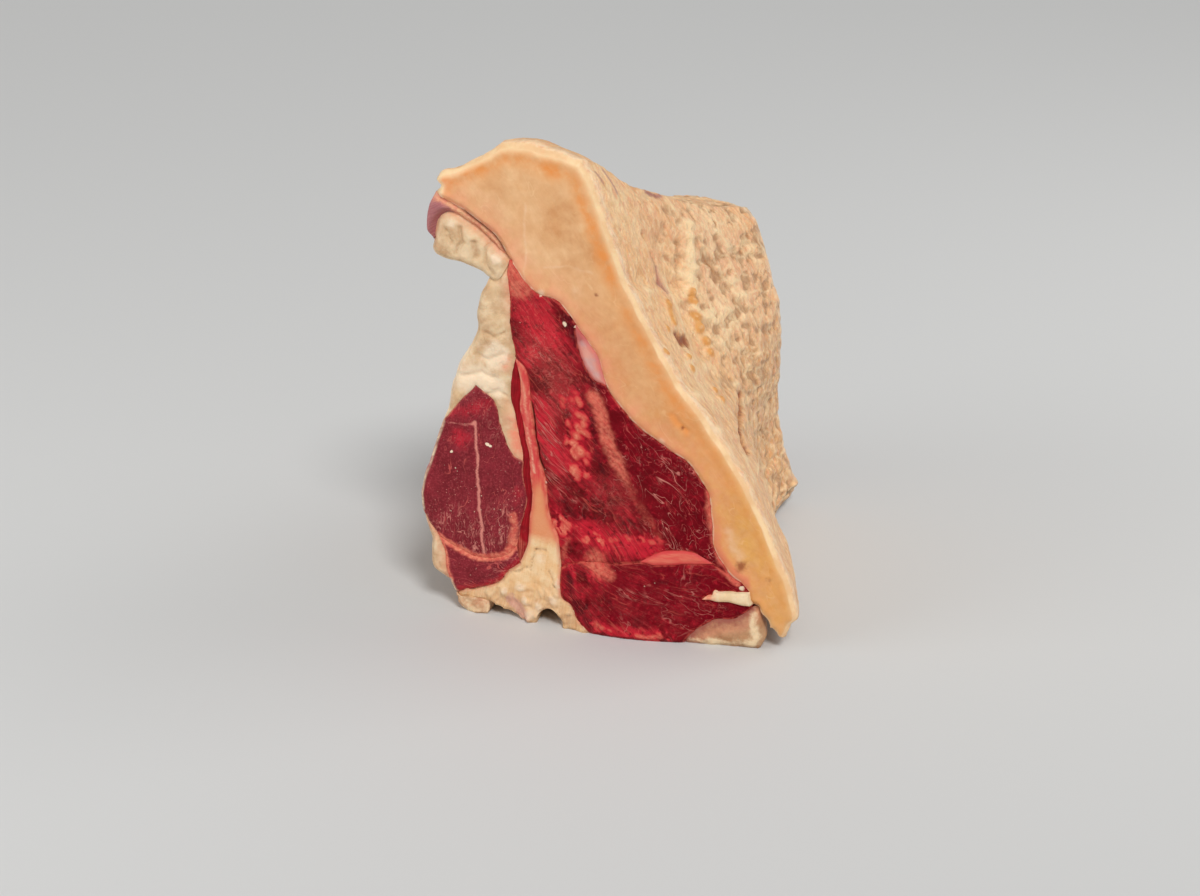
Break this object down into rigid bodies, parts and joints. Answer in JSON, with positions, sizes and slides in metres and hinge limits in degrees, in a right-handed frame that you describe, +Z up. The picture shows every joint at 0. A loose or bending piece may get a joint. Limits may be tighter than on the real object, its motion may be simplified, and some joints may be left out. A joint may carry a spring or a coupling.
{
  "type": "raw t-bone steak",
  "caption": "Thick raw bone-in short-loin steak with loin, fillet, T-shaped bone and a heavy fat cap, standing on its sawn chine side.",
  "frame": {"origin": "middle of the base, on the surface that the meat stands on", "axes": "+Z up, -Y out of the near cut face, +X towards the fat cap side"},
  "size_m": [0.1706, 0.177, 0.2089],
  "materials": {
    "back_fat": "cream to peach back fat, smooth and waxy where cut, fibrous and dimpled outside",
    "suet": "pale yellowish kidney fat, soft and lobed",
    "loin_meat": "wet dark red muscle with fine marbling and coarse fibres",
    "fillet_meat": "smooth plum red muscle with tiny white flecks",
    "strap_meat": "thin strip of very dark red muscle",
    "flank_meat": "thin dried purple flank muscle",
    "bone": "sawn bone, cream yellow body with an orange salmon rib",
    "gristle": "tan and pink cartilage of the spine's tip",
    "sinew": "silvery pink sinew, moist",
    "seam_fat": "salmon fat between two muscles"
  },
  "bodies": {
    "root": {"fat_cap": "back_fat", "flank_muscle": "flank_meat", "tail_fat": "suet", "suet": "suet", "fillet": "fillet_meat", "hip_fat": "suet", "small_fillet": "fillet_meat", "strap_muscle": "strap_meat", "bone": "bone", "loin_eye": "loin_meat", "sinew": "sinew", "seam_fat": "seam_fat", "lower_muscle": "loin_meat", "fat_strand": "suet", "spine_tip": "gristle", "bone_tag": "gristle"}
  },
  "joints": []
}
